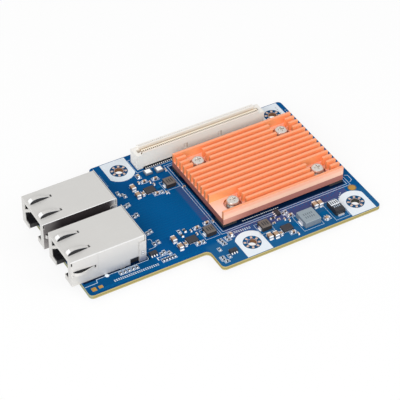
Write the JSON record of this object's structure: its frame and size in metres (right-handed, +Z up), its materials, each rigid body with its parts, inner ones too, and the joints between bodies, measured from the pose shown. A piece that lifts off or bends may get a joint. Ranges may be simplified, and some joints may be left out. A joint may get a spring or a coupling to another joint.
{
  "type": "mezzanine network card",
  "caption": "Flat notched circuit board with shielded network ports at one end, a finned copper heatsink on spring screws and a long board-to-board connector along the back edge.",
  "frame": {"origin": "middle of the outer box's underside, so the card stands on z = 0 with the nuts and pegs of its underside touching", "axes": "+X along the card from the network ports to the far end, +Y from the front edge to the connector, +Z up from the component side"},
  "size_m": [0.1134, 0.068, 0.0156],
  "materials": {
    "circuit_board": "satin blue solder mask over glass fibre laminate",
    "shield_steel": "bright drawn tinned sheet",
    "black_plastic": "moulded, slightly glossy",
    "gold_contacts": "polished gold plating",
    "ivory_plastic": "moulded ivory plastic",
    "copper": "satin machined copper",
    "chip_black": "moulded epoxy",
    "thermal_pad": "soft thermal pad",
    "black_foam": "soft foam",
    "screw_steel": "nickel plated",
    "spring_steel": "bright spring wire",
    "ferrite": "pressed grey ferrite",
    "ferrite_grey": "pressed pale grey ferrite",
    "white_ceramic": "matt white",
    "capacitor_brown": "fired brown ceramic with tinned ends"
  },
  "bodies": {
    "root": {"circuit_board": "circuit_board", "port_shell_1": "shield_steel", "port_rear_cover_1": "shield_steel", "port_insert_1": "black_plastic", "port_contacts_1": "gold_contacts", "port_shell_2": "shield_steel", "port_rear_cover_2": "shield_steel", "port_insert_2": "black_plastic", "port_contacts_2": "gold_contacts", "mezzanine_connector": "ivory_plastic", "heatsink": "copper", "controller_chip": "chip_black", "thermal_pad": "thermal_pad", "foam_pad_1": "black_foam", "spring_screw_1": "screw_steel", "screw_spring_1": "spring_steel", "screw_nut_1": "screw_steel", "foam_pad_2": "black_foam", "spring_screw_2": "screw_steel", "screw_spring_2": "spring_steel", "screw_nut_2": "screw_steel", "foam_pad_3": "black_foam", "spring_screw_3": "screw_steel", "screw_spring_3": "spring_steel", "screw_nut_3": "screw_steel", "foam_pad_4": "black_foam", "spring_screw_4": "screw_steel", "screw_spring_4": "spring_steel", "screw_nut_4": "screw_steel", "power_inductor_1": "ferrite", "power_inductor_2": "ferrite", "power_inductor_3": "ferrite", "filter_inductor": "ferrite_grey", "regulator_ic_1": "chip_black", "regulator_ic_2": "chip_black", "regulator_ic_3": "chip_black", "small_ic_1": "chip_black", "small_ic_2": "chip_black", "small_ic_3": "chip_black", "crystal_1": "white_ceramic", "crystal_2": "white_ceramic", "ceramic_capacitor_1": "capacitor_brown", "ceramic_capacitor_2": "capacitor_brown", "ceramic_capacitor_3": "capacitor_brown", "ceramic_capacitor_4": "capacitor_brown", "ceramic_capacitor_5": "capacitor_brown", "ceramic_capacitor_6": "capacitor_brown", "ceramic_capacitor_7": "capacitor_brown", "ceramic_capacitor_8": "capacitor_brown", "bypass_capacitor_1": "capacitor_brown", "bypass_capacitor_2": "capacitor_brown", "bypass_capacitor_3": "capacitor_brown", "bypass_capacitor_4": "capacitor_brown", "molded_capacitor": "chip_black"}
  },
  "joints": []
}
